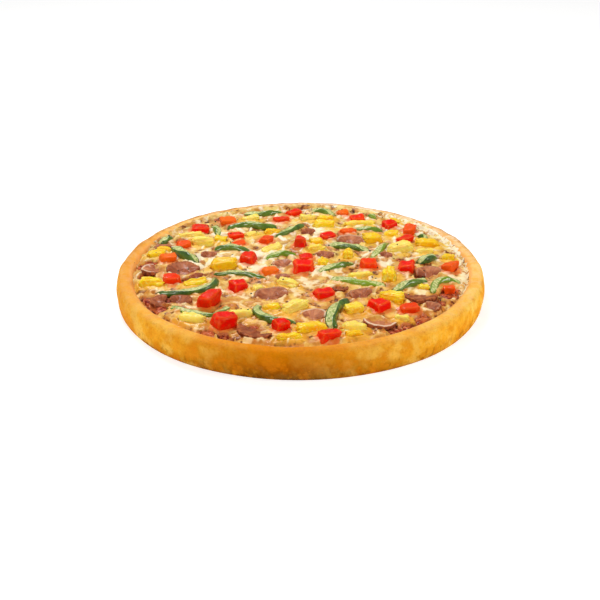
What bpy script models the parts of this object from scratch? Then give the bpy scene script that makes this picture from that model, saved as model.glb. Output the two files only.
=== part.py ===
"""A whole pan pizza: dough with a raised rim, sauce, melted cheese, and toppings.

Metres, +Z up. The origin is the middle of the flat underside. -Y is the front.
Small toppings are one solid with the cheese. The larger ones are solids of their own,
each sunk into a pocket in the cheese with a thin gap all round.
"""

import math
import random

import bmesh
import bpy
from mathutils import Euler, Matrix, Vector, noise

MM = 0.001

# Dough: a thick disc with a raised rim, baked in a straight-sided pan.
PIZZA_RADIUS = 125 * MM
FOOT_RADIUS = 122 * MM
RIM_HEIGHT = 20.3 * MM
RIM_CREST_RADIUS = 120 * MM
DISH_RADIUS = 113.8 * MM
DISH_FLOOR = 13.5 * MM
DOUGH_STEPS = 72
DOUGH_RADIUS_WAVE = 1.1 * MM
DOUGH_HEIGHT_WAVE = 0.8 * MM

# Sauce and cheese lie in the dish. GAP keeps neighbouring solids apart.
GAP = 0.3 * MM
SAUCE_RADIUS = 112.3 * MM
SAUCE_THICKNESS = 1.5 * MM
SAUCE_STEPS = 56
CHEESE_RADIUS = 109.8 * MM
CHEESE_EDGE_WAVE = 1.9 * MM
CHEESE_EDGE_THICKNESS = 3.1 * MM
CHEESE_DOME = 0.5 * MM
CHEESE_LUMPS = 0.55 * MM
CHEESE_LUMP_SIZE = 24 * MM
CHEESE_STEPS = 34
CHEESE_RINGS = 6

SAUCE_BOTTOM = DISH_FLOOR + GAP
SAUCE_TOP = SAUCE_BOTTOM + SAUCE_THICKNESS
CHEESE_BOTTOM = SAUCE_TOP + GAP
POCKET_FLOOR = CHEESE_BOTTOM + 1.0 * MM
SINK = 1.9 * MM

# A topping at least this long, in mm, is a solid of its own.
LOOSE_TOMATO = 11
LOOSE_PINEAPPLE = 15
LOOSE_PEPPER = 27
LOOSE_MUSHROOM = 14

SOFT_EDGE = 1.3 * MM
PINEAPPLE_HEIGHT_SHARE = 0.68
PEPPER_POINTS = 7
MUSHROOM_THICKNESS = 3.2 * MM
MUSHROOM_ARC_STEPS = 8
MUSHROOM_TILT = math.radians(7)
TOPPING_TILT = math.radians(7)

# Where the toppings lie, in mm from the middle of the pizza, and their turn in degrees.
# Tomato dice: x, y, side, turn, height.
TOMATOES = (
    (2, -5, 14, 3, 7.8),
    (-47.5, -87, 14.5, 20, 10.2),
    (16.5, -104.5, 12.5, 22, 6.6),
    (-58.5, -57, 14.5, 65, 10.2),
    (49.5, -65, 13, 40, 7.2),
    (69, -69, 12, 10, 5.6),
    (-41, -33, 12, 35, 6.6),
    (14.5, -44.5, 13, 15, 5.6),
    (72, -6, 12, 80, 6.9),
    (101.5, -6, 12, 60, 6.4),
    (-36, 9, 11.2, 70, 8.6),
    (-86, -22.5, 11.5, 10, 6.8),
    (46.5, 0, 11.5, 10, 6.3),
    (-5, 99, 11.5, 28, 5),
    (-92, 15, 10.8, 15, 5.9),
    (-46.5, 54.5, 11, 10, 5),
    (-74, 68, 13, 5, 5.6),
    (-54, 84, 12, 15, 5.2),
    (43, 86.5, 10.9, 15, 4.6),
    (-21, -8, 10.9, 20, 5.2),
    (75.5, 44, 10.8, 30, 5.6),
    (35, 61, 10.5, 35, 4.8),
    (66, 71.5, 10.5, 30, 6.6),
    (-12, -93, 10, 30, 8.3),
    (0, 35, 10, 85, 9),
    (-24.5, 45.5, 10.5, 60, 5.6),
    (80, 60, 10.5, 75, 6.8),
    (-14, 86, 10.5, 25, 4.8),
    (-83.5, 38.5, 10, 20, 5.2),
    (20.5, 52, 10.8, 30, 5.2),
    (4, 13.5, 9.5, 5, 4.8),
    (32.5, 98.5, 8.5, 10, 4.6),
    (-44, 40, 9.5, 20, 4.4),
    (97, -40, 7.5, 0, 5),
)

# Pineapple pieces: x, y, length, width, turn.
PINEAPPLES = (
    (44.5, 75.5, 24, 5.5, 2),
    (-4.5, -66, 16, 10, 32),
    (-52.5, 1, 16, 11, 5),
    (6.5, -94, 17, 9, 12),
    (-80, 56, 17, 5.5, -3),
    (40.5, -17, 17, 6, 3),
    (-20, 30, 17, 7, 38),
    (-99.5, -26, 15, 9, 5),
    (-68, -80, 16, 8.5, -10),
    (-37.5, -73.5, 14, 8, 10),
    (70, 26, 16, 11, 10),
    (91, 35.5, 16, 9, -5),
    (-69.5, -26.5, 16, 7, 15),
    (-70.5, 43, 15, 10, -5),
    (32.5, -93.5, 13, 8, 0),
    (34, -69.5, 11, 10, 10),
    (59, -53, 15, 10, -35),
    (52.5, 45, 13, 10, 10),
    (-100.5, 23.5, 13, 6.5, 12),
    (-9, -30, 15, 9, -30),
    (17.5, 72.5, 14, 9, 0),
    (87.5, 22.5, 11, 6, -5),
    (-7, -106, 14, 6, 5),
    (19.5, 86.5, 12, 6, 5),
    (-57.5, 48.5, 9, 7, -10),
    (-21, 62, 10, 7, 10),
    (59.5, -20, 12, 11, 85),
    (6.5, 88, 12, 8, 10),
    (-37, 88, 12, 7, 0),
    (32.5, -102.5, 10, 5, 15),
    (66.5, 54.5, 11, 7, 0),
    (11, 28, 11, 8, 5),
    (33.5, 19, 11, 8, 88),
    (63, -82, 8, 6, -20),
    (-18.5, -65, 10, 7, 10),
    (12, 41, 9, 8, 0),
    (15.8, 4.5, 9.5, 8, 70),
    (70, 80, 8, 6, 0),
    (102.5, 11.5, 8, 6, -20),
    (-34.5, 57, 9, 7, 15),
    (-96.5, 29.5, 9, 5, 5),
    (81, -37.5, 7, 5, 0),
    (-28, -36, 7, 6, 20),
)

# Green pepper strips: the width, then the points that the strip passes through, end to end.
PEPPERS = (
    (6, (-95, -39.5), (-77, -41.5), (-63, -36), (-57, -27), (-58, -17)),
    (6, (-26.5, -60), (-27.5, -71), (-21, -80.5), (-11, -84), (-3, -84)),
    (5, (-85, -60), (-70, -69), (-57, -74.5), (-50, -70), (-45, -61)),
    (7.6, (20, -92), (18.5, -82), (23, -66), (30.5, -55)),
    (6, (86, -43), (89.5, -31), (98, -25), (106, -28)),
    (7.6, (-90, 34), (-82, 20), (-71, 9)),
    (6, (20, -21.5), (38, -28.5), (56, -33)),
    (5, (-59, -10.5), (-40, -13), (-22, -20)),
    (6, (-43, 100), (-27, 97), (-13, 103)),
    (6.2, (20, 36), (35, 31), (48.5, 25.5)),
    (6.4, (60.5, -41), (71, -33), (84, -25)),
    (5.6, (50, 14), (57, 27), (62.5, 40)),
    (6, (13, -9), (25, -3), (37, 5)),
    (6, (-18, 53), (-7.5, 62), (3, 76)),
    (6.6, (-54, 71), (-41, 73.5), (-29, 70.5), (-17, 70.5)),
    (6, (-24, 12), (-14, 19), (-2.5, 20.5)),
    (6, (-61, 31), (-48, 31), (-35.5, 26.5)),
    (7, (80.5, 3), (88, 7), (94, 14.5)),
    (5.6, (9, 105), (18, 101.5), (27, 95)),
    (5.4, (39, 66), (51, 64), (61, 62)),
    (6.4, (-100, 42), (-93.5, 53)),
    (5.4, (52, 94), (57, 87)),
    (5.4, (86, 53), (91, 46)),
    (5.4, (-64.5, 76), (-61.5, 68), (-60, 59)),
)

# Mushroom slices: x, y, width of the cap, turn.
MUSHROOMS = (
    (-80, -4, 20, 12),
    (77.5, -50, 19, 178),
    (-19, -46, 19, 4),
    (48.5, -86.5, 18, 172),
    (-28.5, -97, 20, 150),
    (36.5, 43.5, 18, -5),
    (-101.5, -3, 15, 100),
    (8, -75, 15, -20),
    (39, -46, 14, 30),
    (86, -14, 15.5, 15),
    (-97.5, 35, 10, 15),
    (-77, -52, 13, -12),
    (-91, -53, 12, 60),
    (83.5, -65, 11, -60),
    (17, 17.5, 12, -10),
    (-12.5, 5, 12, 20),
    (26, -38.5, 10, 200),
    (-64, 20, 10, 10),
    (-70, -16, 9, 40),
    (6, 60, 9, 5),
    (-12, -18.5, 9, 15),
    (60, 16, 8, -30),
)

CRUST_COLOR = (0.80, 0.42, 0.09, 1)
SAUCE_COLOR = (0.42, 0.06, 0.02, 1)
CHEESE_COLOR = (0.90, 0.70, 0.36, 1)
TOMATO_COLOR = (0.78, 0.05, 0.02, 1)
PINEAPPLE_COLOR = (0.93, 0.62, 0.05, 1)
PEPPER_COLOR = (0.10, 0.27, 0.06, 1)
MUSHROOM_COLOR = (0.42, 0.20, 0.13, 1)


def clear_scene():
    for obj in list(bpy.data.objects):
        bpy.data.objects.remove(obj)


def new_collection(name):
    collection = bpy.data.collections.new(name)
    bpy.context.scene.collection.children.link(collection)
    return collection


def material(name, color, roughness):
    made = bpy.data.materials.new(name)
    made.use_nodes = True
    shader = made.node_tree.nodes["Principled BSDF"]
    shader.inputs["Base Color"].default_value = color
    shader.inputs["Roughness"].default_value = roughness
    shader.inputs["Metallic"].default_value = 0.0
    return made


def add_object(name, data, collection, finish=None):
    obj = bpy.data.objects.new(name, data)
    collection.objects.link(obj)
    if finish:
        data.materials.append(finish)
    return obj


def replace_with_mesh(obj, collection, finish=None):
    """The object becomes a plain mesh of triangles, as its modifiers or its curve shape it."""
    graph = bpy.context.evaluated_depsgraph_get()
    mesh = bpy.data.meshes.new_from_object(obj.evaluated_get(graph))
    shape = bmesh.new()
    shape.from_mesh(mesh)
    bmesh.ops.remove_doubles(shape, verts=shape.verts, dist=0.01 * MM)
    bmesh.ops.triangulate(shape, faces=shape.faces)
    shape.to_mesh(mesh)
    shape.free()
    name = obj.name
    place = obj.matrix_world.copy()
    bpy.data.objects.remove(obj)
    mesh.materials.clear()
    made = add_object(name, mesh, collection, finish)
    made.matrix_world = place
    return made


def turned(name, profile, steps, collection, finish):
    """A profile of (radius, height) points, listed from the top's middle outwards and down, turned round Z."""
    mesh = bpy.data.meshes.new(name)
    edges = [(i, i + 1) for i in range(len(profile) - 1)]
    mesh.from_pydata([(radius, 0, height) for radius, height in profile], edges, [])
    obj = add_object(name, mesh, collection)
    screw = obj.modifiers.new("Turn", "SCREW")
    screw.axis = "Z"
    screw.angle = 2 * math.pi
    screw.steps = steps
    screw.render_steps = steps
    screw.use_merge_vertices = True
    screw.merge_threshold = 0.01 * MM
    return replace_with_mesh(obj, collection, finish)


def wave(angle, seed, lobes):
    """An uneven wave round the pizza, between about -1 and 1."""
    phases = random.Random(seed)
    parts = [math.sin(n * angle + phases.uniform(0, 2 * math.pi)) / n**0.5 for n in lobes]
    return sum(parts) / sum(1 / n**0.5 for n in lobes)


def smooth_step(low, high, value):
    share = min(1.0, max(0.0, (value - low) / (high - low)))
    return share * share * (3 - 2 * share)


def build_crust(collection, finish):
    """Dough disc with its rim. Only the rim is uneven: the dish floor and the underside stay flat."""
    profile = (
        (0, DISH_FLOOR),
        (DISH_RADIUS - 3 * MM, DISH_FLOOR),
        (DISH_RADIUS - 0.8 * MM, DISH_FLOOR + 1.5 * MM),
        (DISH_RADIUS, RIM_HEIGHT - 3.2 * MM),
        (DISH_RADIUS + 1.7 * MM, RIM_HEIGHT - 1.1 * MM),
        (RIM_CREST_RADIUS, RIM_HEIGHT),
        (RIM_CREST_RADIUS + 2.3 * MM, RIM_HEIGHT - 0.5 * MM),
        (PIZZA_RADIUS - 1.1 * MM, RIM_HEIGHT - 2.5 * MM),
        (PIZZA_RADIUS - 0.3 * MM, RIM_HEIGHT - 6.3 * MM),
        (PIZZA_RADIUS, 10 * MM),
        (PIZZA_RADIUS - 0.2 * MM, 5.5 * MM),
        (PIZZA_RADIUS - 0.8 * MM, 2.2 * MM),
        (FOOT_RADIUS + 1.5 * MM, 0.5 * MM),
        (FOOT_RADIUS, 0),
        (0, 0),
    )
    crust = turned("crust", profile, DOUGH_STEPS, collection, finish)
    for vertex in crust.data.vertices:
        x, y, z = vertex.co
        radius = math.hypot(x, y)
        if radius < DISH_RADIUS - 2 * MM or z < 0.1 * MM:
            continue
        angle = math.atan2(y, x)
        outward = smooth_step(RIM_CREST_RADIUS - 3 * MM, PIZZA_RADIUS, radius)
        upward = smooth_step(DISH_FLOOR, RIM_HEIGHT, z)
        bulge = DOUGH_RADIUS_WAVE * wave(angle, 11, (2, 3, 5, 9)) * outward
        scale = 1 + bulge / radius
        lift = DOUGH_HEIGHT_WAVE * wave(angle, 12, (2, 4, 7, 13)) * upward
        vertex.co = (x * scale, y * scale, z + lift)
    return crust


def build_sauce(collection, finish):
    """A thin flat layer that shows as an uneven band between the cheese and the rim."""
    profile = (
        (0, SAUCE_TOP),
        (SAUCE_RADIUS - 0.8 * MM, SAUCE_TOP),
        (SAUCE_RADIUS, SAUCE_TOP - 0.7 * MM),
        (SAUCE_RADIUS - 2.2 * MM, SAUCE_BOTTOM),
        (0, SAUCE_BOTTOM),
    )
    sauce = turned("sauce", profile, SAUCE_STEPS, collection, finish)
    for vertex in sauce.data.vertices:
        x, y, z = vertex.co
        if math.hypot(x, y) > SAUCE_RADIUS / 2:
            scale = 1 - 0.006 * (1 + wave(math.atan2(y, x), 21, (3, 7, 11)))
            vertex.co = (x * scale, y * scale, z)
    return sauce


def cheese_edge(angle):
    return CHEESE_RADIUS + CHEESE_EDGE_WAVE * wave(angle, 31, (3, 5, 8, 13, 19))


def cheese_height(x, y):
    """The top of the cheese over the point x, y: a low dome with melted lumps."""
    share = math.hypot(x, y) / CHEESE_RADIUS
    dome = CHEESE_EDGE_THICKNESS + CHEESE_DOME * (1 - share * share)
    lumps = noise.noise(Vector((x, y, 0)) / CHEESE_LUMP_SIZE)
    return CHEESE_BOTTOM + dome + CHEESE_LUMPS * 2 * lumps


def build_cheese(collection, finish):
    """The bare melted sheet, before the toppings."""
    ring_gap = CHEESE_RADIUS / CHEESE_RINGS
    top = CHEESE_BOTTOM + CHEESE_EDGE_THICKNESS
    profile = [(ring * ring_gap, top) for ring in range(CHEESE_RINGS)]
    profile += [
        (CHEESE_RADIUS - 1.4 * MM, top),
        (CHEESE_RADIUS, CHEESE_BOTTOM + 0.9 * MM),
        (CHEESE_RADIUS - 0.5 * MM, CHEESE_BOTTOM),
        (0, CHEESE_BOTTOM),
    ]
    cheese = turned("cheese", profile, CHEESE_STEPS, collection, finish)
    for vertex in cheese.data.vertices:
        x, y, z = vertex.co
        radius = math.hypot(x, y)
        spread = smooth_step(CHEESE_RADIUS / 2, CHEESE_RADIUS, radius)
        scale = 1 + (cheese_edge(math.atan2(y, x)) / CHEESE_RADIUS - 1) * spread
        if z > top - 0.1 * MM:
            z = cheese_height(x * scale, y * scale)
        vertex.co = (x * scale, y * scale, z)
    return cheese


def settle(obj, x, y, turn, height, draws):
    """Turns a topping, tilts it a little, and sinks it into the cheese. The height is its own, upright."""
    tilt = Euler((draws.uniform(-1, 1) * TOPPING_TILT, draws.uniform(-1, 1) * TOPPING_TILT, turn))
    bottom = max(cheese_height(x, y) - SINK, POCKET_FLOOR + 0.9 * MM)
    obj.matrix_world = Matrix.Translation((x, y, bottom + height / 2)) @ tilt.to_matrix().to_4x4()


def chopped(name, length, width, height, narrow_end, draws, grow):
    """A cut piece with six uneven faces. grow widens it all round, for its pocket."""
    shape = bmesh.new()
    bmesh.ops.create_cube(shape, size=1)
    for vertex in shape.verts:
        x, y, z = vertex.co
        squeeze = narrow_end if x > 0 else 1.0
        if z > 0:
            squeeze *= 0.9
        jitter = [1 + draws.uniform(-0.09, 0.09) for _ in range(3)]
        vertex.co = (
            x * (length * jitter[0] + 2 * grow),
            y * (width * squeeze * jitter[1] + 2 * grow),
            z * (height * jitter[2] + 2 * grow),
        )
    mesh = bpy.data.meshes.new(name)
    shape.to_mesh(mesh)
    shape.free()
    return bpy.data.objects.new(name, mesh)


def soften(piece):
    """Bevels the edges of a chopped piece."""
    bevel = piece.modifiers.new("Soft edges", "BEVEL")
    bevel.width = SOFT_EDGE
    bevel.segments = 1
    bevel.limit_method = "NONE"


def tomato(name, row, seed, grow=0.0):
    x, y, side, turn, height = row
    draws = random.Random(seed)
    obj = chopped(name, side * MM, side * 0.88 * MM, height * MM, 0.94, draws, grow)
    settle(obj, x * MM, y * MM, math.radians(turn), height * MM, draws)
    return obj


def pineapple(name, row, seed, grow=0.0):
    x, y, length, width, turn = row
    draws = random.Random(seed)
    height = max(width * PINEAPPLE_HEIGHT_SHARE, 4.8) * MM
    obj = chopped(name, length * MM, width * MM, height, 0.72, draws, grow)
    settle(obj, x * MM, y * MM, math.radians(turn), height, draws)
    return obj


def smooth_path(points, count):
    """Points evenly spread along a smooth curve through the given ones."""
    ends = [2 * points[0] - points[1], *points, 2 * points[-1] - points[-2]]
    path = []
    for step in range(count):
        along = step / (count - 1) * (len(points) - 1)
        part = min(int(along), len(points) - 2)
        t = along - part
        a, b, c, d = ends[part : part + 4]
        path.append(
            b
            + (c - a) * 0.5 * t
            + (2 * a - 5 * b + 4 * c - d) * 0.5 * t * t
            + (3 * b - a - 3 * c + d) * 0.5 * t * t * t
        )
    return path


def pepper(name, row, seed, grow=0.0):
    """A bent strip, thinner towards its two ends, that rises a little in the middle."""
    draws = random.Random(seed)
    arch = draws.uniform(0.3, 1.0) * MM
    width = row[0] * MM
    path = smooth_path([Vector((x * MM, y * MM, 0)) for x, y in row[1:]], PEPPER_POINTS)
    curve = bpy.data.curves.new(name, "CURVE")
    curve.dimensions = "3D"
    curve.bevel_depth = 1.0
    curve.bevel_resolution = 1
    curve.use_fill_caps = True
    spline = curve.splines.new("POLY")
    spline.points.add(PEPPER_POINTS - 1)
    for index, place in enumerate(path):
        share = index / (PEPPER_POINTS - 1)
        if index in (0, PEPPER_POINTS - 1):
            inner = path[1] if index == 0 else path[-2]
            place = place + (place - inner).normalized() * grow
        hump = math.sin(math.pi * share)
        radius = width / 2 * (0.42 + 0.58 * hump**0.6)
        floor = max(cheese_height(place.x, place.y) - SINK, POCKET_FLOOR + 0.6 * MM)
        spline.points[index].co = (place.x, place.y, floor + radius + arch * hump, 1)
        spline.points[index].radius = radius + grow
    return bpy.data.objects.new(name, curve)


def row_length(points):
    return sum(math.dist(a, b) for a, b in zip(points, points[1:]))


def mushroom_outline(width):
    """Half a round cap on a short stem, listed anticlockwise, with the middle of the slice at the origin."""
    cap_height = 0.52 * width
    stem_width = 0.34 * width
    stem_length = 0.26 * width
    arc = [math.pi * step / MUSHROOM_ARC_STEPS for step in range(MUSHROOM_ARC_STEPS + 1)]
    cap = [(width / 2 * math.cos(a), cap_height * math.sin(a) ** 0.85) for a in arc]
    gills = [(-0.32 * width, -0.08 * width), (-stem_width / 2, -0.03 * width)]
    stem = [(-stem_width / 2 * 1.2, -stem_length), (stem_width / 2 * 1.2, -stem_length)]
    points = cap + gills + stem + [(-x, y) for x, y in reversed(gills)]
    return [Vector((x, y - 0.1 * width)) for x, y in points]


def mushroom(name, row, seed, grow=0.0):
    """A slice cut lengthways through a mushroom, nearly flat on the cheese."""
    x, y, width, turn = row
    draws = random.Random(seed)
    outline = mushroom_outline(width * MM)
    curve = bpy.data.curves.new(name, "CURVE")
    curve.dimensions = "2D"
    curve.fill_mode = "BOTH"
    curve.extrude = MUSHROOM_THICKNESS / 2 + grow
    spline = curve.splines.new("POLY")
    spline.points.add(len(outline) - 1)
    for point, corner in zip(spline.points, outline):
        corner += grow * 1.4 * corner.normalized()
        point.co = (corner.x, corner.y, 0, 1)
    spline.use_cyclic_u = True
    obj = bpy.data.objects.new(name, curve)
    tilt = Euler((MUSHROOM_TILT, draws.uniform(-1, 1) * MUSHROOM_TILT / 2, 0)).to_matrix()
    facing = Matrix.Rotation(math.radians(turn), 4, "Z")
    drop = math.sin(MUSHROOM_TILT) * 0.45 * width * MM
    bottom = max(cheese_height(x * MM, y * MM) - SINK * 0.6, POCKET_FLOOR + drop)
    place = Vector((x * MM, y * MM, bottom + MUSHROOM_THICKNESS / 2 + 0.2 * drop))
    obj.matrix_world = Matrix.Translation(place) @ facing @ tilt.to_4x4()
    return obj


def as_mesh(obj, collection, finish=None):
    collection.objects.link(obj)
    bpy.context.view_layer.update()
    return replace_with_mesh(obj, collection, finish)


def boolean(target, collection, operation):
    """Joins all of a collection to the target, or cuts it away, and removes the collection's objects."""
    modifier = target.modifiers.new("Join", "BOOLEAN")
    modifier.operand_type = "COLLECTION"
    modifier.collection = collection
    modifier.operation = operation
    modifier.solver = "EXACT"
    graph = bpy.context.evaluated_depsgraph_get()
    mesh = bpy.data.meshes.new_from_object(target.evaluated_get(graph))
    target.modifiers.clear()
    target.data = mesh
    for obj in list(collection.objects):
        bpy.data.objects.remove(obj)
    bpy.data.collections.remove(collection)


def keep_largest(obj):
    """Drops the scraps that a cut leaves beside the main piece."""
    shape = bmesh.new()
    shape.from_mesh(obj.data)
    unseen = set(shape.verts)
    islands = []
    for start in shape.verts:
        if start not in unseen:
            continue
        unseen.discard(start)
        island = [start]
        for vertex in island:
            for edge in vertex.link_edges:
                other = edge.other_vert(vertex)
                if other in unseen:
                    unseen.discard(other)
                    island.append(other)
        islands.append(island)
    islands.sort(key=len)
    scraps = [v for island in islands[:-1] for v in island]
    bmesh.ops.delete(shape, geom=scraps, context="VERTS")
    shape.to_mesh(obj.data)
    shape.free()


def build_toppings(pizza, cheese):
    """Large toppings become nodes in pockets. Small ones are joined to the cheese."""
    kinds = (
        ("tomato", tomato, TOMATOES, lambda row: row[2] >= LOOSE_TOMATO),
        ("pineapple", pineapple, PINEAPPLES, lambda row: row[2] >= LOOSE_PINEAPPLE),
        ("pepper", pepper, PEPPERS, lambda row: row_length(row[1:]) >= LOOSE_PEPPER),
        ("mushroom", mushroom, MUSHROOMS, lambda row: row[2] >= LOOSE_MUSHROOM),
    )
    finishes = {
        "tomato": material("tomato", TOMATO_COLOR, 0.25),
        "pineapple": material("pineapple", PINEAPPLE_COLOR, 0.35),
        "pepper": material("pepper", PEPPER_COLOR, 0.3),
        "mushroom": material("mushroom", MUSHROOM_COLOR, 0.5),
    }
    joined = new_collection("joined toppings")
    pockets = new_collection("pockets")
    for kind, make, rows, is_loose in kinds:
        number = 0
        for seed, row in enumerate(rows):
            if is_loose(row):
                number += 1
                piece = make(f"{kind}_{number:02d}", row, seed)
                if kind in ("tomato", "pineapple"):
                    soften(piece)
                as_mesh(piece, pizza, finishes[kind])
                as_mesh(make(f"pocket_{kind}_{number:02d}", row, seed, GAP), pockets)
            else:
                as_mesh(make(f"joined_{kind}_{seed:02d}", row, seed), joined)
    boolean(cheese, joined, "UNION")
    boolean(cheese, pockets, "DIFFERENCE")
    keep_largest(cheese)


def build_pizza():
    clear_scene()
    pizza = new_collection("pan pizza")
    crust = build_crust(pizza, material("crust", CRUST_COLOR, 0.5))
    build_sauce(pizza, material("sauce", SAUCE_COLOR, 0.3))
    cheese = build_cheese(pizza, material("cheese", CHEESE_COLOR, 0.35))
    build_toppings(pizza, cheese)
    for obj in (crust, cheese):
        obj.data.shade_smooth()
        obj.data.set_sharp_from_angle(angle=math.radians(50))


build_pizza()
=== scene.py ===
import random
from math import atan2, copysign, cos, exp, hypot, pi, radians, sin, sqrt

import bpy
from mathutils import Euler, Matrix, Vector, noise
from mathutils.bvhtree import BVHTree
from mathutils.kdtree import KDTree


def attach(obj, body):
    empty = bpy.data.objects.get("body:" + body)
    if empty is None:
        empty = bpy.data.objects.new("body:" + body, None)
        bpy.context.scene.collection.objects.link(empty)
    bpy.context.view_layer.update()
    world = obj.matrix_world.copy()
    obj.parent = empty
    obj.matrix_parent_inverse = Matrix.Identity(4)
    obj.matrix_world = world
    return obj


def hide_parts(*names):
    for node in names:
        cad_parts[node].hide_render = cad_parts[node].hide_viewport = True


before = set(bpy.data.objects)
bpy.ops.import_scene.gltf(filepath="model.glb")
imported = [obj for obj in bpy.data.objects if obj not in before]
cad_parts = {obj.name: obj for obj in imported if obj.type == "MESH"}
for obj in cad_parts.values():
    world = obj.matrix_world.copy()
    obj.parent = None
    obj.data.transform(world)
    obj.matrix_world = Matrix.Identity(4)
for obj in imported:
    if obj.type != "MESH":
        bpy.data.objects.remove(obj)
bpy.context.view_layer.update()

mm = 0.001


# shader helpers

def rgb(red, green, blue):  # a screen colour, 0 to 255, as the shader wants it
    parts = [c / 255 for c in (red, green, blue)]
    return tuple(c / 12.92 if c < 0.04 else ((c + 0.055) / 1.055) ** 2.4 for c in parts) + (1,)


class Wire:  # an output socket: sums and products of wires add their Math nodes
    def __init__(self, paint, socket):
        self.paint = paint
        self.socket = socket

    def op(self, kind, first, second):
        return self.paint.node("ShaderNodeMath", {"operation": kind}, {0: first, 1: second})

    def __add__(self, other):
        return self.op("ADD", self, other)

    def __sub__(self, other):
        return self.op("SUBTRACT", self, other)

    def __rsub__(self, other):
        return self.op("SUBTRACT", other, self)

    def __mul__(self, other):
        return self.op("MULTIPLY", self, other)

    __radd__ = __add__
    __rmul__ = __mul__


class Paint:  # a material under construction
    def __init__(self, name, fixed):
        self.material = bpy.data.materials.new(name)
        self.material.use_nodes = True
        self.tree = self.material.node_tree
        self.shader = self.tree.nodes["Principled BSDF"]
        for label, value in fixed.items():
            self.shader.inputs[label].default_value = value

    def feed(self, socket, value):
        if isinstance(value, Wire):
            self.tree.links.new(value.socket, socket)
        else:
            socket.default_value = value

    def node(self, kind, settings, sockets, output=0):
        made = self.tree.nodes.new(kind)
        for name, value in settings.items():
            if name == "stops":
                ramp = made.color_ramp
                while len(ramp.elements) < len(value):
                    ramp.elements.new(0.5)
                for element, (place, color) in zip(ramp.elements, value):
                    element.position = place
                    element.color = color
            else:
                setattr(made, name, value)
        for key, value in sockets.items():
            self.feed(made.inputs[key], value)
        return Wire(self, made.outputs[output])

    def place(self):
        return self.node("ShaderNodeTexCoord", {}, {}, "Object")

    def axis(self, name):
        return self.node("ShaderNodeSeparateXYZ", {}, {0: self.place()}, name)

    def layer(self, name):
        return self.node("ShaderNodeAttribute", {"attribute_name": name}, {}, "Fac")

    def noise(self, size, detail=3, rough=0.55, stretch=(1, 1, 1), warp=0):
        where = self.node("ShaderNodeMapping", {}, {"Vector": self.place(), "Scale": stretch})
        sockets = {"Vector": where, "Scale": 1 / size, "Detail": detail}
        sockets.update({"Roughness": rough, "Distortion": warp})
        return self.node("ShaderNodeTexNoise", {}, sockets)

    def mask(self, value, low, high):  # 0 below low, 1 above high, smooth between
        settings = {"interpolation_type": "SMOOTHSTEP"}
        return self.node("ShaderNodeMapRange", settings, {0: value, 1: low, 2: high, 3: 0.0, 4: 1.0})

    def mix(self, share, first, second, blend="MIX"):
        settings = {"data_type": "RGBA", "blend_type": blend}
        return self.node("ShaderNodeMix", settings, {0: share, 6: first, 7: second}, 2)

    def between(self, value, low, high, first, second):  # one screen colour below low, one above high
        return self.mix(self.mask(value, low, high), rgb(*first), rgb(*second))

    def glaze(self, color, shade, amount, value, low, high):  # a shade laid over, where value is high
        return self.mix(self.mask(value, low, high) * amount, color, rgb(*shade))

    def ramp(self, value, stops):
        return self.node("ShaderNodeValToRGB", {"stops": stops}, {0: value})

    def set(self, label, value):
        self.feed(self.shader.inputs[label], value)

    def finish(self, color, rough, coat, relief, depth, strength):
        self.set("Base Color", color)
        self.set("Roughness", rough)
        self.set("Coat Weight", coat)
        sockets = {"Height": relief, "Distance": depth, "Strength": strength}
        self.set("Normal", self.node("ShaderNodeBump", {}, sockets))
        return self


def foodPaint(name, soft, depth, radii, shine, wetness=0.2):  # light goes some way into all of them
    return Paint(name, {"Subsurface Weight": soft, "Subsurface Scale": depth, "Subsurface Radius": radii,
                        "Specular IOR Level": shine, "Coat Roughness": wetness})


# modelling helpers

def startFresh():
    if bpy.context.mode != "OBJECT":
        bpy.ops.object.mode_set(mode="OBJECT")
    bpy.ops.object.select_all(action="DESELECT")


def openEdit():  # edit mode with everything selected
    bpy.ops.object.mode_set(mode="EDIT")
    bpy.ops.mesh.select_all(action="SELECT")


def closeEdit():  # back to object mode, with all faces turned outwards
    bpy.ops.mesh.select_all(action="SELECT")
    bpy.ops.mesh.normals_make_consistent(inside=False)
    bpy.ops.object.mode_set(mode="OBJECT")


def extrudeUp(rise, grow):  # the new faces rise, and grow about the middle of the pizza
    bpy.ops.mesh.extrude_region_move(TRANSFORM_OT_translate={"value": (0, 0, rise)})
    bpy.ops.transform.resize(value=(grow, grow, 1), center_override=(0, 0, 0))


def addLayers(piece, names, rows):  # named values, with one row of them for each vertex
    for name, values in zip(names, zip(*rows)):
        piece.data.attributes.new(name, "FLOAT", "POINT").data.foreach_set("value", values)


def applyModifiers(piece):
    startFresh()
    bpy.context.view_layer.objects.active = piece
    piece.select_set(True)
    for modifier in list(piece.modifiers):
        bpy.ops.object.modifier_apply(modifier=modifier.name)


def clouds(piece, name, size, strength, depth=2, axis="NORMAL"):  # uneven surface from cloud noise
    texture = bpy.data.textures.new(name, "CLOUDS")
    texture.noise_scale = size
    texture.noise_depth = depth
    push = piece.modifiers.new(name, "DISPLACE")
    push.texture = texture
    push.texture_coords = "LOCAL"
    push.direction = axis
    push.strength = strength
    push.mid_level = 0.5


def addSubdivision(piece):
    smooth = piece.modifiers.new("Subdivision", "SUBSURF")
    smooth.levels = 1
    smooth.render_levels = 1


def nodesOf(kind):
    return [name for name in sorted(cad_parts) if name.startswith(kind)]


def finishPiece(piece, name, paint, slot, replaced=None):  # replaces its own kind if not told
    replaced = nodesOf(slot) if replaced is None else replaced
    applyModifiers(piece)
    piece.name = name
    piece.data.name = name
    piece.data.materials.clear()
    piece.data.materials.append(paint.material)
    piece.data.shade_smooth()
    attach(piece, "root")
    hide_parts(*replaced)
    print("made", name, len(piece.data.polygons), "faces")
    return piece


def addObject(name, data):
    added = bpy.data.objects.new(name, data)
    bpy.context.scene.collection.objects.link(added)
    return added


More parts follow.
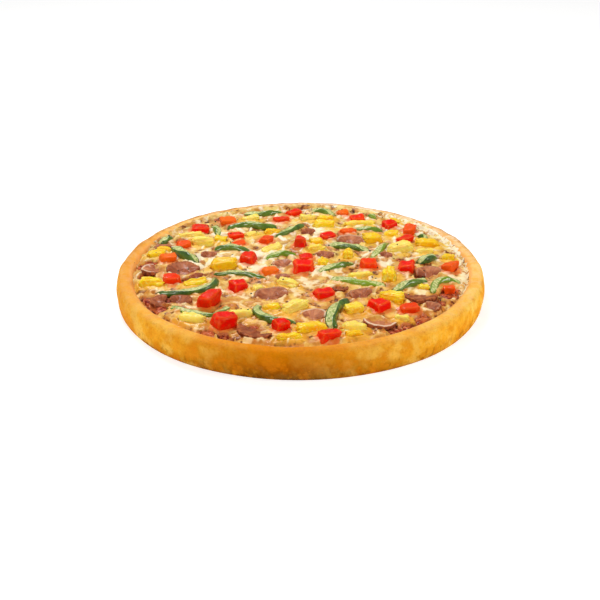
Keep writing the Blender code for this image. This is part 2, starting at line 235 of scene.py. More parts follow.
def copyOf(model, place, values):  # a copy with its own mesh and values, set in place
    copied = addObject(model.name, model.data.copy())
    copied.data.transform(place)
    addLayers(copied, values, [list(values.values())] * len(copied.data.vertices))
    return copied


def joinAll(copies, models):  # one piece from all the copies, and the models go
    for model in models:
        bpy.data.objects.remove(model)
    startFresh()
    for copied in copies:
        copied.select_set(True)
    bpy.context.view_layer.objects.active = copies[0]
    bpy.ops.object.join()
    return copies[0]


def treeOf(piece):  # for finding the top of a piece under a point
    corners = [vertex.co.copy() for vertex in piece.data.vertices]
    return BVHTree.FromPolygons(corners, [face.vertices[:] for face in piece.data.polygons])


def topHit(trees, x, y):  # the highest hit straight down, with its normal
    start = Vector((x, y, levels["above"]))
    hits = [tree.ray_cast(start, Vector((0, 0, -1))) for tree in trees]
    return max((hit for hit in hits if hit[0]), key=lambda hit: hit[0].z)


def wave(angle, seed, lobes):  # an uneven wave round the pizza, within -1 and 1
    draws = random.Random(seed)
    parts = [sin(n * angle + draws.uniform(0, 2 * pi)) / n**0.5 for n in lobes]
    return sum(parts) / sum(1 / n**0.5 for n in lobes)


def smoothStep(low, high, value):  # 0 at low, 1 at high, smooth between, either way round
    share = min(1.0, max(0.0, (value - low) / (high - low)))
    return share * share * (3 - 2 * share)


def smoothPath(points, count):  # points spread along a smooth curve through the given ones
    ends = [2 * points[0] - points[1], *points, 2 * points[-1] - points[-2]]
    path = []
    for step in range(count):
        along = step / (count - 1) * (len(points) - 1)
        part = min(int(along), len(points) - 2)
        t = along - part
        a, b, c, d = ends[part:part + 4]
        square = 2 * a - 5 * b + 4 * c - d
        cube = 3 * b - a - 3 * c + d
        path.append(b + (c - a) * 0.5 * t + square * 0.5 * t**2 + cube * 0.5 * t**3)
    return path


# camera, lamps and floor

view = {"distance": 0.8, "elevation": 25.3, "roll": 0.6, "lens": 69.36, "rise": -0.0123, "aside": -0.001}
lift = radians(view["elevation"])
camera = addObject("camera", bpy.data.cameras.new("camera"))
bpy.context.scene.camera = camera
camera.data.lens = view["lens"]
camera.data.shift_y = view["rise"]
camera.data.shift_x = view["aside"]
camera.location = Vector((0, -cos(lift), sin(lift))) * view["distance"]
upright = Matrix.Rotation(pi / 2 - lift, 3, "X")
camera.rotation_euler = (upright @ Matrix.Rotation(-radians(view["roll"]), 3, "Z")).to_euler()

bpy.context.scene.view_settings.view_transform = "Standard"
studio = {
    "sky": 0.26,
    "floorRadius": 3,
    "floorGlow": 0.69,
    "lamps": [  # name, place, size, watts, colour
        ("overhead", (-0.2, 0.45, 0.85), 0.45, 6.55, (1, 0.98, 0.95)),
        ("left", (-0.5, -0.7, 0.5), 0.3, 2.8, (1, 0.97, 0.92)),
        ("right", (0.8, -0.3, 0.45), 0.3, 3.1, (1, 0.97, 0.92)),
    ],
}
sky = bpy.data.worlds.new("studio")
sky.use_nodes = True
sky.node_tree.nodes["Background"].inputs["Color"].default_value = (1, 1, 1, 1)
sky.node_tree.nodes["Background"].inputs["Strength"].default_value = studio["sky"]
bpy.context.scene.world = sky
for name, place, size, watts, color in studio["lamps"]:
    lamp = bpy.data.lights.new(name, "AREA")
    lamp.shape = "DISK"
    lamp.size = size
    lamp.energy = watts
    lamp.color = color
    holder = addObject(name, lamp)
    holder.location = place
    holder.rotation_euler = (-Vector(place)).to_track_quat("-Z", "Y").to_euler()

startFresh()
bpy.ops.mesh.primitive_circle_add(vertices=64, radius=studio["floorRadius"], fill_type="NGON",
                                  location=(0, 0, 0))
floor = bpy.context.object
floor.name = "floor"
floorPaint = Paint("pale studio floor", {"Roughness": 0.6, "Emission Strength": studio["floorGlow"],
                                         "Emission Color": (1, 1, 1, 1)})
floorShade = floorPaint.noise(0.4, 2)
floorPaint.set("Base Color", floorPaint.mix(floorShade, rgb(196, 196, 196), rgb(202, 202, 202)))
floor.data.materials.append(floorPaint.material)
print("stage ready")


# levels shared by the pieces

levels = {
    "sauceBottom": 13.8 * mm,
    "cheeseBottom": 15.6 * mm,
    "cheeseEdge": 3.1 * mm,  # the cheese's thickness at its edge
    "cheeseRadius": 109.8 * mm,
    "dome": 0.5 * mm,
    "lumps": 1.1 * mm,
    "lumpSize": 24 * mm,
    "sink": 1.9 * mm,  # how deep the toppings sit in the cheese
    "above": 60 * mm,  # where rays start that look down for a surface
}
barePatches = [  # x, y, size in mm of the places where sauce shows
    (-109, 5, 7), (-104, -10, 7), (-98, -50, 10), (-91, -61, 8), (57, -94, 7), (77, -81, 9), (105, 16, 5),
    (-58, -97, 7), (46, -107, 5), (-77, -21, 6), (80, -17, 6), (96, -45, 8), (-104, 12, 6), (-86, -47, 8),
    (-30, -88, 5), (24, -37, 6), (-86, 48, 6), (88, -57, 7), (-66, -10, 4), (30, 8, 4), (70, 12, 5),
    (99, -38, 5), (66, -90, 6), (-47, -99, 5), (-100, 40, 6), (-60, 92, 6), (-8, -12, 3), (3, 2, 4),
]
palePatches = [  # x, y, size in mm of the whitest cheese
    (-30, 12, 24), (-66, 14, 15), (6, -24, 11), (79, -39, 8), (-6, -108, 8), (35, -106, 7), (107, -20, 9),
    (-88, 25, 10), (55, 10, 13), (-60, 60, 10), (20, -10, 11), (-42, -2, 10), (-84, 2, 6), (90, 60, 10),
    (12, 66, 9), (-20, 80, 8), (62, 30, 9),
]


def cheeseLevel(x, y):  # the broad form of the cheese, which carries the toppings
    share = hypot(x, y) / levels["cheeseRadius"]
    lumps = noise.noise(Vector((x, y, 0)) / levels["lumpSize"]) * levels["lumps"]
    return levels["cheeseBottom"] + levels["cheeseEdge"] + levels["dome"] * (1 - share * share) + lumps


def patch(rows, x, y):  # 1 inside the listed patches, 0 away from them
    best = 0
    for px, py, size in rows:
        away = hypot(x - px * mm, y - py * mm) / (size * mm)
        if away < 1.2:
            best = max(best, 1 - smoothStep(0.45, 1.15, away))
    return best


def bareness(x, y):  # 1 where the cheese has run off the sauce
    at = Vector((x, y, 0))
    return smoothStep(0.3, 0.65, patch(barePatches, x, y) + 0.6 * noise.noise(at / (5 * mm)) - 0.1)


# where the toppings lie: millimetres from the middle, turn in degrees

tomatoRows = [  # x, y, side, turn, height, orange (0 red, 1 orange)
    (2, -5, 14, 3, 7.8, 0), (-47.5, -87, 14.5, 20, 10.2, 0), (16.5, -104.5, 12.5, 22, 6.6, 0.1),
    (-58.5, -57, 14.5, 65, 10.2, 0.1), (49.5, -65, 13, 40, 7.2, 0), (69, -69, 12, 10, 5.6, 0.3),
    (-41, -33, 12, 35, 6.6, 0), (14.5, -44.5, 13, 15, 5.6, 0), (72, -6, 12, 80, 6.9, 0),
    (101.5, -6, 12, 60, 6.4, 0.6), (-36, 9, 11.2, 70, 8.6, 0.1), (-86, -22.5, 11.5, 10, 6.8, 0.2),
    (46.5, 0, 11.5, 10, 6.3, 0.2), (-5, 99, 11.5, 28, 5, 0.1), (-92, 15, 10.8, 15, 5.9, 0.8),
    (-46.5, 54.5, 11, 10, 5, 0.1), (-74, 68, 13, 5, 5.6, 0), (-54, 84, 12, 15, 5.2, 0.8),
    (43, 86.5, 10.9, 15, 4.6, 0.1), (-21, -8, 10.9, 20, 5.2, 0.9), (75.5, 44, 10.8, 30, 5.6, 0.1),
    (35, 61, 10.5, 35, 4.8, 0.6), (66, 71.5, 10.5, 30, 6.6, 0), (-12, -93, 10, 30, 8.3, 0),
    (0, 35, 10, 85, 9, 0), (-24.5, 45.5, 10.5, 60, 5.6, 0.4), (80, 60, 10.5, 75, 6.8, 0.5),
    (-14, 86, 10.5, 25, 4.8, 0.2), (-83.5, 38.5, 10, 20, 5.2, 0.5), (20.5, 52, 10.8, 30, 5.2, 0),
    (4, 13.5, 9.5, 5, 4.8, 0), (32.5, 98.5, 8.5, 10, 4.6, 0.8), (-44, 40, 9.5, 20, 4.4, 0.4),
    (97, -40, 7.5, 0, 5, 0.5),
]
pineappleRows = [  # x, y, length, width, turn
    (44.5, 75.5, 24, 5.5, 2), (-4.5, -66, 16, 10, 32), (-52.5, 1, 16, 11, 5), (6.5, -94, 17, 9, 12),
    (-80, 56, 17, 5.5, -3), (40.5, -17, 17, 6, 3), (-20, 30, 17, 7, 38), (-99.5, -26, 15, 9, 5),
    (-68, -80, 16, 8.5, -10), (-37.5, -73.5, 14, 8, 10), (70, 26, 16, 11, 10), (91, 35.5, 16, 9, -5),
    (-69.5, -26.5, 16, 7, 15), (-70.5, 43, 15, 10, -5), (32.5, -93.5, 13, 8, 0), (34, -69.5, 11, 10, 10),
    (59, -53, 15, 10, -35), (52.5, 45, 13, 10, 10), (-100.5, 23.5, 13, 6.5, 12), (-9, -30, 15, 9, -30),
    (17.5, 72.5, 14, 9, 0), (87.5, 22.5, 11, 6, -5), (-7, -106, 14, 6, 5), (19.5, 86.5, 12, 6, 5),
    (-57.5, 48.5, 9, 7, -10), (-21, 62, 10, 7, 10), (59.5, -20, 12, 11, 85), (6.5, 88, 12, 8, 10),
    (-37, 88, 12, 7, 0), (32.5, -102.5, 10, 5, 15), (66.5, 54.5, 11, 7, 0), (11, 28, 11, 8, 5),
    (33.5, 19, 11, 8, 88), (63, -82, 8, 6, -20), (-18.5, -65, 10, 7, 10), (12, 41, 9, 8, 0),
    (15.8, 4.5, 9.5, 8, 70), (70, 80, 8, 6, 0), (102.5, 11.5, 8, 6, -20), (-34.5, 57, 9, 7, 15),
    (-96.5, 29.5, 9, 5, 5), (81, -37.5, 7, 5, 0), (-28, -36, 7, 6, 20),
]
pepperRows = [  # brightness, width, then the points each strip passes through
    (0.1, 6, (-95, -39.5), (-77, -41.5), (-63, -36), (-57, -27), (-58, -17)),
    (0.2, 6, (-26.5, -60), (-27.5, -71), (-21, -80.5), (-11, -84), (-3, -84)),
    (0.3, 5, (-85, -60), (-70, -69), (-57, -74.5), (-50, -70), (-45, -61)),
    (0.1, 7.6, (20, -92), (18.5, -82), (23, -66), (30.5, -55)),
    (0.7, 6, (86, -43), (89.5, -31), (98, -25), (106, -28)),
    (0.1, 7.6, (-90, 34), (-82, 20), (-71, 9)),
    (1.0, 6, (20, -21.5), (38, -28.5), (56, -33)),
    (0.3, 5, (-59, -10.5), (-40, -13), (-22, -20)),
    (0.3, 6, (-43, 100), (-27, 97), (-13, 103)),
    (0.2, 6.2, (20, 36), (35, 31), (48.5, 25.5)),
    (0.2, 6.4, (60.5, -41), (71, -33), (84, -25)),
    (0.8, 5.6, (50, 14), (57, 27), (62.5, 40)),
    (0.3, 6, (13, -9), (25, -3), (37, 5)),
    (0.2, 6, (-18, 53), (-7.5, 62), (3, 76)),
    (0.3, 6.6, (-54, 71), (-41, 73.5), (-29, 70.5), (-17, 70.5)),
    (0.7, 6, (-24, 12), (-14, 19), (-2.5, 20.5)),
    (0.3, 6, (-61, 31), (-48, 31), (-35.5, 26.5)),
    (0.0, 7, (80.5, 3), (88, 7), (94, 14.5)),
    (0.4, 5.6, (9, 105), (18, 101.5), (27, 95)),
    (0.5, 5.4, (39, 66), (51, 64), (61, 62)),
    (0.1, 6.4, (-100, 42), (-93.5, 53)),
    (0.8, 5.4, (52, 94), (57, 87)),
    (0.1, 5.4, (86, 53), (91, 46)),
    (0.4, 5.4, (-64.5, 76), (-61.5, 68), (-60, 59)),
]
mushroomRows = [  # x, y, width, turn, dark (0 pale, 1 dark)
    (-80, -4, 20, 12, 0.6), (77.5, -50, 19, 178, 0.7), (-19, -46, 19, 4, 0.5),
    (48.5, -86.5, 18, 172, 0.1), (-28.5, -97, 20, 150, 0.8), (36.5, 43.5, 18, -5, 0.4),
    (-101.5, -3, 15, 100, 0.3), (8, -75, 15, -20, 0.3),
    (39, -46, 14, 30, 0.5), (86, -14, 15.5, 15, 0.5), (-97.5, 35, 10, 15, 0.5), (-77, -52, 13, -12, 0.7),
    (-91, -53, 12, 60, 0.6), (83.5, -65, 11, -60, 0.5), (17, 17.5, 12, -10, 0.5), (-12.5, 5, 12, 20, 0.4),
    (26, -38.5, 10, 200, 0.9), (-64, 20, 10, 10, 0.5), (-70, -16, 9, 40, 0.9), (6, 60, 9, 5, 0.6),
    (-12, -18.5, 9, 15, 0.5), (60, 16, 8, -30, 0.5),
]

# crust
crustLook = {
    "sides": 240,
    "rings": 56,
    "profile": [  # radius and height in mm: up the outside, over the rim and down into the dish
        (122, 0), (123.5, 0.5), (124.2, 2.2), (124.8, 5.5), (125, 10), (124.7, 14), (123.9, 17.8),
        (122.3, 19.8), (120, 20.3), (117.6, 20.0), (115.5, 19.2), (113.8, 17.1), (113, 15), (110.8, 13.5),
    ],
    "dish": 111.8 * mm,  # the dough stays even inside this radius
    "height": 21 * mm,
    "crest": 120 * mm,
    "radiusWave": 1.1 * mm,
    "heightWave": 0.8 * mm,
    "dents": [(11 * mm, 0.5 * mm), (4 * mm, 0.16 * mm)],  # size, depth
}


def addCrust():
    path = smoothPath([Vector((r * mm, z * mm)) for r, z in crustLook["profile"]], crustLook["rings"])
    startFresh()
    bpy.ops.mesh.primitive_circle_add(vertices=crustLook["sides"], radius=path[0].x, location=(0, 0, 0))
    crust = bpy.context.object
    openEdit()
    bpy.ops.mesh.edge_face_add()  # the underside
    bpy.ops.mesh.select_all(action="SELECT")
    for before, after in zip(path, path[1:]):
        extrudeUp(after.y - before.y, after.x / before.x)
    closeEdit()
    rows = []
    for vertex in crust.data.vertices:
        x, y, z = vertex.co
        radius = hypot(x, y)
        angle = atan2(y, x)
        back = max(0, sin(angle))
        # the front of the crust is painted darker below, and keeps less of the peach crest: painted shade
        # on the side away from the lamps
        front = max(0, -sin(angle + 0.1))
        top = smoothStep(16 * mm, 19 * mm, z)
        inner = 1 - smoothStep(114 * mm, 119.5 * mm, radius)
        crest = smoothStep(17.5 * mm, 20 * mm, z) * smoothStep(124.5 * mm, 121.5 * mm, radius)
        leftward = smoothStep(0.1, -0.7, cos(angle))
        left = smoothStep(0.75, 0.97, -cos(angle))
        edge = smoothStep((119 - 2 * leftward) * mm, 121.5 * mm, radius) * smoothStep(13 * mm, 18 * mm, z)
        pale = top * smoothStep(0.15, 0.75, sin(angle + 0.2)) * (1 - 0.8 * leftward)
        rows.append((inner, front**5, crest * (1 - 0.95 * front), edge * back**0.7, pale, left))
        if radius < crustLook["dish"] or z < 0.1 * mm:
            continue
        outward = smoothStep(crustLook["crest"] - 3 * mm, 125 * mm, radius)
        upward = smoothStep(13.5 * mm, 20.3 * mm, z)
        scale = 1 + crustLook["radiusWave"] * wave(angle, 11, (2, 3, 5, 9)) * outward / radius
        raised = crustLook["heightWave"] * wave(angle, 12, (2, 4, 7, 13)) * upward
        dents = sum(noise.noise(vertex.co / size) * depth for size, depth in crustLook["dents"])
        swell = 1 + dents * smoothStep(0, 4 * mm, z) / radius
        lumps = dents * smoothStep(15 * mm, 19 * mm, z)
        vertex.co = (x * scale * swell, y * scale * swell, z + raised + lumps)
    addLayers(crust, ("inner", "front", "crest", "toast", "pale", "left"), rows)
    return crust


def paintCrust():
    paint = foodPaint("golden baked crust", 0.06, 0.003, (1, 0.4, 0.05), 0.01)
    broad = paint.noise(0.028, 4, 0.6)
    mottle = paint.noise(0.0065, 5, 0.65)
    streaks = paint.noise(0.0036, 4, 0.65, (1, 1, 0.5))
    grain = paint.noise(0.0012, 4, 0.65)
    clumps = paint.noise(0.012, 3, 0.6)
    level = paint.axis("Z") * (1 / crustLook["height"])  # 0 at the foot, 1 on the rim
    level = level + (broad - 0.5) * 0.16 + (streaks - 0.5) * 0.2
    side = paint.ramp(level, [
        (0.03, rgb(156, 90, 6)), (0.16, rgb(224, 150, 22)), (0.42, rgb(250, 174, 36)),
        (0.78, rgb(255, 184, 50)), (0.95, rgb(255, 192, 78)),
    ])
    # a much darker ramp for the front of the crust: painted shade
    front = paint.ramp(level, [
        (0.03, rgb(90, 46, 0)), (0.16, rgb(124, 66, 0)), (0.42, rgb(164, 86, 0)),
        (0.78, rgb(200, 116, 0)), (0.95, rgb(228, 134, 6)),
    ])
    color = paint.mix(paint.layer("front"), side, front)
    # the lighter glazes below mostly leave out the front, which keeps the painted shade there
    away = 1 - paint.layer("front") * 0.9
    color = paint.glaze(color, (212, 118, 4), 0.4, mottle, 0.5, 0.62)
    color = paint.glaze(color, (252, 182, 54), away * 0.4, mottle, 0.5, 0.36)
    color = paint.glaze(color, (252, 178, 48), away * 0.4, broad, 0.52, 0.7)
    color = paint.glaze(color, (255, 214, 104), away * 0.65, clumps, 0.44, 0.66)
    color = paint.glaze(color, (232, 136, 24), 0.35, clumps, 0.48, 0.34)
    low = paint.mask(level, 0.5, 0.15)
    color = paint.glaze(color, (212, 142, 24), low * 0.35, streaks, 0.54, 0.66)
    color = paint.glaze(color, (150, 84, 6), low * 0.6, streaks, 0.46, 0.36)
    color = paint.glaze(color, (178, 98, 10), 0.25, grain, 0.5, 0.66)
    peach = paint.between(mottle, 0.4, 0.6, (252, 188, 100), (255, 216, 152))
    color = paint.mix(paint.layer("crest") * 0.6, color, peach)
    color = paint.mix(paint.layer("left") * 0.5, color, rgb(224, 134, 28))
    cream = paint.between(mottle, 0.38, 0.62, (240, 184, 116), (254, 230, 198))
    color = paint.mix(paint.layer("pale") * paint.mask(broad, 0.25, 0.45) * 0.85, color, cream)
    soaked = paint.mix(mottle, rgb(238, 146, 66), rgb(250, 192, 120))
    inner = paint.mask(paint.layer("inner") + (mottle - 0.5) * 0.9, 0.3, 0.9)
    color = paint.mix(inner * 0.7, color, soaked)
    brown = paint.between(mottle, 0.4, 0.6, (140, 74, 36), (206, 136, 82))
    color = paint.mix(paint.layer("toast") * paint.mask(mottle, 0.1, 0.4) * 0.85, color, brown)
    relief = mottle * 0.6 + grain * 0.45 + streaks * 0.3
    return paint.finish(color, 0.5 + mottle * 0.2, 0, relief, 0.0009, 0.9)


crustTree = treeOf(finishPiece(addCrust(), "crust_golden", paintCrust(), "crust"))

# sauce
sauceLook = {
    "radius": 112.3 * mm,
    "foot": 110.3 * mm,
    "slope": 0.9 * mm,
    "edge": 0.6 * mm,
    "sides": 220,
    "rings": 58,
    "pool": 2.6 * mm,  # how much higher it stands where no cheese covers it
    "pulp": [(4 * mm, 0.45 * mm), (1.8 * mm, 0.315 * mm)],  # size, height
}


def addSauce():
    startFresh()
    bpy.ops.mesh.primitive_circle_add(vertices=sauceLook["sides"], radius=sauceLook["foot"],
                                      fill_type="NGON", location=(0, 0, 0))
    sauce = bpy.context.object
    openEdit()
    extrudeUp(sauceLook["slope"], sauceLook["radius"] / sauceLook["foot"])
    extrudeUp(sauceLook["edge"], 0.998)
    for ring in range(sauceLook["rings"]):  # rings towards the middle
        bpy.ops.mesh.inset(thickness=sauceLook["radius"] / (sauceLook["rings"] + 2), depth=0)
    closeEdit()
    for vertex in sauce.data.vertices:
        x, y, z = vertex.co
        if z > sauceLook["slope"] + sauceLook["edge"] / 2:  # the top side
            for layer, (size, height) in enumerate(sauceLook["pulp"]):
                z += noise.noise(Vector((x, y, layer)) / size) * height
            z += sauceLook["pool"] * bareness(x, y)
        vertex.co.z = z + levels["sauceBottom"]
    return sauce


def paintSauce():
    paint = foodPaint("tomato sauce", 0.1, 0.002, (1, 0.2, 0.1), 0.12, 0.15)
    pulp = paint.noise(0.003, 5, 0.7)
    broad = paint.noise(0.009, 3)
    color = paint.between(pulp, 0.42, 0.58, (118, 22, 8), (200, 86, 46))
    color = paint.glaze(color, (214, 118, 58), 0.7, broad, 0.48, 0.6)
    color = paint.glaze(color, (238, 180, 140), 0.75, pulp, 0.56, 0.64)
    wet = paint.mask(broad, 0.4, 0.6) * 0.2
    return paint.finish(color, 0.25 + pulp * 0.25, wet, pulp, 0.0008, 0.6)


finishPiece(addSauce(), "sauce_ring", paintSauce(), "sauce")

# tomato dice
tomatoLook = {"widthShare": 0.88, "models": 6, "jitter": 0.13, "narrowEnd": 1, "edge": 0.19}


def warpBox(mesh, draws, amount, narrowEnd):  # moves the corners of a unit box, and all between
    corners = {}
    for sx in (0, 1):
        for sy in (0, 1):
            for sz in (0, 1):
                corners[sx, sy, sz] = Vector([draws.uniform(-amount, amount) for _ in range(3)])
    for vertex in mesh.vertices:
        x, y, z = vertex.co + Vector((0.5, 0.5, 0.5))
        shift = Vector()
        for (sx, sy, sz), corner in corners.items():
            weight = (x if sx else 1 - x) * (y if sy else 1 - y) * (z if sz else 1 - z)
            shift += corner * weight
        squeeze = (1 - (1 - narrowEnd) * x) * (1 - 0.1 * z)  # slimmer at the top and at one end
        vertex.co = Vector((vertex.co.x, vertex.co.y * squeeze, vertex.co.z)) + shift


def softBox(look, draws):  # an uneven cut block, one unit across
    startFresh()
    bpy.ops.mesh.primitive_cube_add(size=1, location=(0, 0, 0))
    model = bpy.context.object
    openEdit()
    bpy.ops.mesh.bevel(offset=look["edge"], segments=2, affect="EDGES")
    bpy.ops.mesh.subdivide(number_cuts=2)
    bpy.ops.object.mode_set(mode="OBJECT")
    places = [vertex.co for vertex in model.data.vertices]
    rows = [(sorted(abs(c) for c in place)[1] * 2, 0.5 - place.z) for place in places]
    addLayers(model, ("rim", "low"), rows)  # 1 on the edges, and 1 at the bottom
    warpBox(model.data, draws, look["jitter"], look["narrowEnd"])
    addSubdivision(model)
    applyModifiers(model)
    return model


def settled(x, y, turn, height, draws):  # a block's place in the cheese, leaning up to 7 degrees
    leans = [radians(draws.uniform(-7, 7)) for _ in range(2)]
    bottom = max(cheeseLevel(x, y) - levels["sink"], levels["cheeseBottom"] + levels["sink"])
    turned = Euler((*leans, turn)).to_matrix().to_4x4()
    return Matrix.Translation((x, y, bottom + height / 2)) @ turned


def addTomatoes():
    draws = random.Random(41)
    models = [softBox(tomatoLook, draws) for _ in range(tomatoLook["models"])]
    copies = []
    for index, (x, y, side, turn, height, orange) in enumerate(tomatoRows):
        place = settled(x * mm, y * mm, radians(turn), height * mm, draws)
        size = Matrix.Diagonal((side * mm, side * tomatoLook["widthShare"] * mm, height * mm, 1))
        values = {"orange": orange, "tone": draws.random()}
        copies.append(copyOf(models[index % len(models)], place @ size, values))
    tomatoes = joinAll(copies, models)
    clouds(tomatoes, "cut faces", 4.5 * mm, 1.7 * mm, 1)
    return tomatoes


def paintTomato():
    paint = foodPaint("diced tomato", 0.2, 0.002, (1, 0.12, 0.03), 0.08, 0.12)
    flesh = paint.noise(0.0032, 4, 0.6)
    veins = paint.noise(0.0012, 3, 0.6)
    red = paint.mix(flesh, rgb(238, 4, 0), rgb(255, 26, 2))
    orange = paint.mix(flesh, rgb(242, 96, 6), rgb(255, 140, 34))
    color = paint.mix(paint.layer("orange"), red, orange)
    # orange edges: partly cheese oil on them, partly a painted glow of light through the thin edges
    thin = paint.mask(paint.layer("rim") + (flesh - 0.5) * 0.6, 0.58, 1.02)
    color = paint.mix(thin * 0.75, color, rgb(255, 112, 30))
    color = paint.glaze(color, (250, 96, 24), 0.4, paint.layer("low"), 0.5, 0.95)
    deep = paint.mask(flesh + (paint.layer("tone") - 0.5) * 0.2, 0.42, 0.66)
    color = paint.mix(deep * (1 - paint.layer("orange")) * 0.6, color, rgb(200, 2, 0))
    film = paint.layer("tone") * 0.5 + flesh  # a thin film of cheese on some
    color = paint.glaze(color, (252, 110, 40), 0.25, film, 0.9, 1.04)
    wet = paint.mask(flesh, 0.4, 0.6) * 0.18
    return paint.finish(color, 0.28 + veins * 0.2, wet, veins + flesh * 0.6, 0.0004, 0.6)


tomatoPiece = finishPiece(addTomatoes(), "tomato_dice", paintTomato(), "tomato")

# pineapple pieces
pineappleLook = {
    "heightShare": 0.68,
    "lowest": 4.8,
    "models": 6,
    "jitter": 0.11,
    "narrowEnd": 0.72,
    "edge": 0.2,
    "ridge": 0.07,
    "torn": 0.14,
}


def addPineapple():
    draws = random.Random(52)
    models = []
    for _ in range(pineappleLook["models"]):
        model = softBox(pineappleLook, draws)
        phase = draws.uniform(0, 9)
        fibres = []
        for vertex in model.data.vertices:  # ridges run along the piece
            x, y, z = vertex.co
            bend = noise.noise(Vector((x * 1.5, y, phase))) * 0.5
            grooves = sin((y + bend * 0.25) * 20 + phase) * 0.5
            ridge = grooves + noise.noise(Vector((x * 2.5, y * 7, z * 7 + phase)))
            fibres.append([0.5 + 0.5 * ridge])
            torn = noise.noise(Vector((phase, y * 5, z * 5))) * smoothStep(0.25, 0.5, abs(x))
            rise = pineappleLook["ridge"] * ridge if z > 0 else 0
            vertex.co += Vector((torn * pineappleLook["torn"], 0.03 * ridge, rise))
        addLayers(model, ["fibre"], fibres)
        models.append(model)
    copies = []
    for index, (x, y, length, width, turn) in enumerate(pineappleRows):
        height = max(width * pineappleLook["heightShare"], pineappleLook["lowest"]) * mm
        flip = pi if index % 3 == 1 else 0  # the narrow end points the other way
        place = settled(x * mm, y * mm, radians(turn) + flip, height, draws)
        size = Matrix.Diagonal((length * mm, width * mm, height, 1))
        copies.append(copyOf(models[index % len(models)], place @ size, {"tone": draws.random()}))
    pineapple = joinAll(copies, models)
    clouds(pineapple, "torn flesh", 3.5 * mm, 2.0 * mm, 2)
    return pineapple


def paintPineapple():
    paint = foodPaint("pineapple", 0.35, 0.004, (1, 0.7, 0.1), 0.25)
    fibre = paint.layer("fibre")
    low = paint.layer("low")
    fine = paint.noise(0.0022, 4, 0.6)
    broad = paint.noise(0.01, 3)
    color = paint.between(fibre, 0.2, 0.8, (255, 192, 4), (255, 224, 24))
    # painted shade: the lower sides of each piece turn orange, as the shaded side looks
    color = paint.glaze(color, (250, 160, 10), 0.55, low + (fine - 0.5) * 0.4, 0.5, 0.95)
    # pale yellow flecks: painted highlights
    color = paint.glaze(color, (255, 242, 130), 0.5, fine, 0.52, 0.66)
    color = paint.glaze(color, (252, 176, 4), 0.4, broad, 0.52, 0.68)
    color = paint.glaze(color, (255, 238, 140), 0.5, paint.layer("tone"), 0.55, 0.85)
    color = paint.glaze(color, (255, 178, 8), 0.4, paint.layer("tone"), 0.3, 0.1)
    wet = paint.mask(fine, 0.4, 0.6) * 0.2
    return paint.finish(color, 0.3 + fine * 0.25, wet, fibre * 0.6 + fine * 0.6, 0.0006, 0.7)


pineapplePiece = finishPiece(addPineapple(), "pineapple_pieces", paintPineapple(), "pineapple")

# green pepper strips
pepperLook = {
    "thickShare": 0.92,
    "steps": 30,
    "around": 20,
    "endShare": 0.52,  # how wide the ends are, and how sharply they taper
    "endPower": 0.36,
    "corner": 0.78,  # 1 is round, less is squarer
    "fleshAt": 80,  # degrees round the strip
    "hollow": 0.13,
    "pathSteps": 39,
}


def pepperStrip():  # straight strip of length 1, rather square, skin all round but for one cut side
    startFresh()
    bpy.ops.mesh.primitive_circle_add(vertices=pepperLook["around"], radius=0.5, fill_type="NGON",
                                      location=(0, 0, 0), rotation=(0, pi / 2, 0))
    strip = bpy.context.object
    bpy.ops.object.transform_apply(location=True, rotation=True, scale=True)
    openEdit()
    for _ in range(pepperLook["steps"]):
        bpy.ops.mesh.extrude_region_move(TRANSFORM_OT_translate={"value": (1 / pepperLook["steps"], 0, 0)})
    closeEdit()
    flesh = []
    middle = radians(pepperLook["fleshAt"])
    for vertex in strip.data.vertices:
        x, y, z = vertex.co
        around = atan2(z, y)
        off = abs((around - middle + pi) % (2 * pi) - pi)
        flesh.append([1 - smoothStep(0.4, 0.8, off)])
        square = pepperLook["corner"]
        inward = pepperLook["hollow"] * (1 - smoothStep(0.1, 0.8, off))
        vertex.co.y = 0.5 * copysign(abs(cos(around)) ** square, y) - cos(middle) * inward
        vertex.co.z = 0.5 * copysign(abs(sin(around)) ** square, z) - sin(middle) * inward
    addLayers(strip, ["flesh"], flesh)
    return strip


def addPeppers():
    draws = random.Random(63)
    strip = pepperStrip()
    steps = pepperLook["pathSteps"]
    copies = []
    for tone, width, *points in pepperRows:
        copied = copyOf(strip, Matrix.Identity(4), {"tone": tone})
        path = smoothPath([Vector((x * mm, y * mm, 0)) for x, y in points], steps + 1)
        arch = draws.uniform(0.5, 1.3) * mm
        roll = draws.uniform(-0.45, 0.3) * (1 if points[-1][0] > points[0][0] else -1)
        wide = width * mm
        for vertex in copied.data.vertices:
            x, y, z = vertex.co
            x = min(1.0, max(0.0, x))
            at = min(int(x * steps), steps - 1)
            middle = path[at].lerp(path[at + 1], x * steps - at)
            ahead = (path[at + 1] - path[at]).normalized()
            across = Vector((-ahead.y, ahead.x, 0))
            hump = sin(pi * x)
            full = hump ** pepperLook["endPower"]
            taper = pepperLook["endShare"] + (1 - pepperLook["endShare"]) * full
            taper *= 1 + 0.1 * noise.noise(Vector((x * 4, roll * 9, width)))
            twist = roll + 0.45 * sin(2.2 * x * pi + roll * 5)
            ny = y * cos(twist) - z * sin(twist)
            nz = y * sin(twist) + z * cos(twist)
            level = cheeseLevel(middle.x, middle.y) - levels["sink"] + wide * 0.46 * taper
            side = across * (ny * wide * taper)
            up = Vector((0, 0, 1)) * (nz * wide * pepperLook["thickShare"] * taper + level + arch * hump)
            vertex.co = Vector((middle.x, middle.y, 0)) + side + up
        copies.append(copied)
    peppers = joinAll(copies, [strip])
    addSubdivision(peppers)
    clouds(peppers, "wrinkles", 5 * mm, 0.8 * mm, 1)
    return peppers


